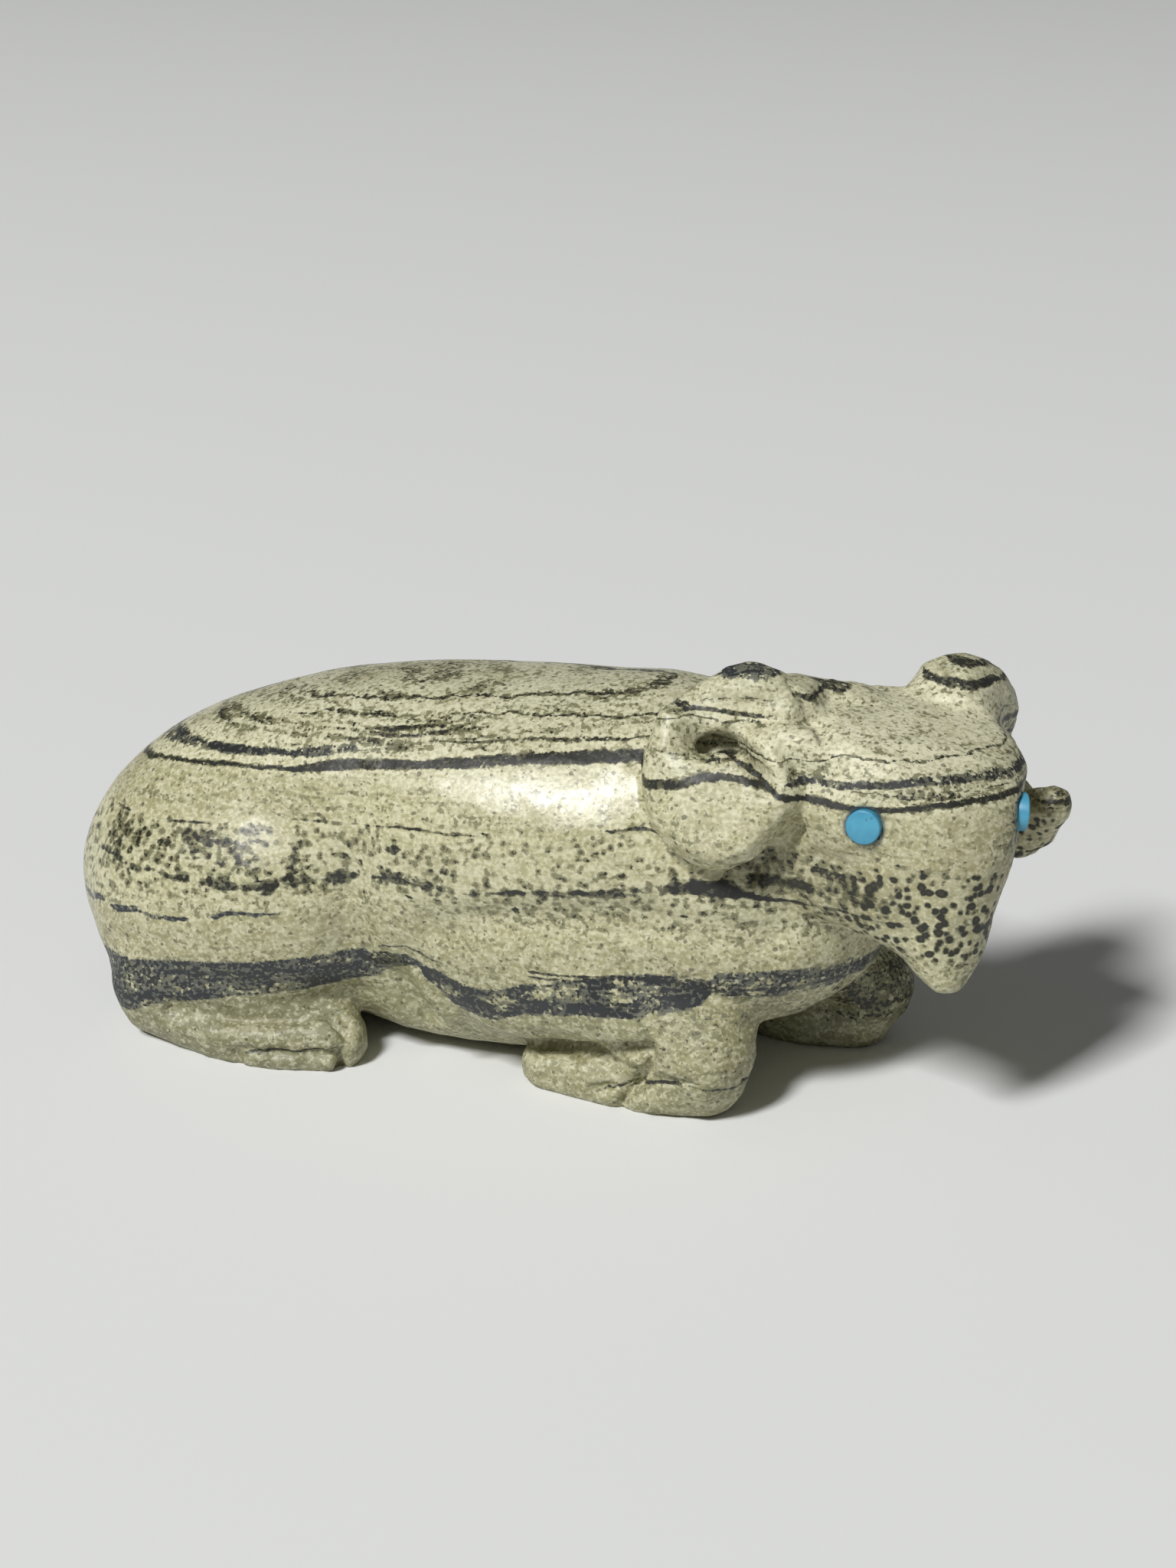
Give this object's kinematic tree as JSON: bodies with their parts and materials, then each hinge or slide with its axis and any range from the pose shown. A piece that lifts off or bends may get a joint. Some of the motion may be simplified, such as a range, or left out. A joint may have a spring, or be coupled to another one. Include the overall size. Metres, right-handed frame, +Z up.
{
  "type": "carved stone ram figure",
  "caption": "Small lying bighorn ram carved in one piece from banded serpentine, head turned to its right, legs folded, with round turquoise eyes inlaid.",
  "frame": {"origin": "under the middle of the carving's box, on the surface it stands on", "axes": "+X along the body towards the head, +Z up, the head turned towards -Y, the animal's right side"},
  "size_m": [0.0558, 0.0204, 0.0241],
  "materials": {
    "stone": "satin polish, tan serpentine with near-black level bands and dark speckles",
    "turquoise": "polished sky-blue turquoise rod, set with clear glue"
  },
  "bodies": {
    "root": {"ram": "stone", "eye_right": "turquoise", "eye_left": "turquoise"}
  },
  "joints": []
}
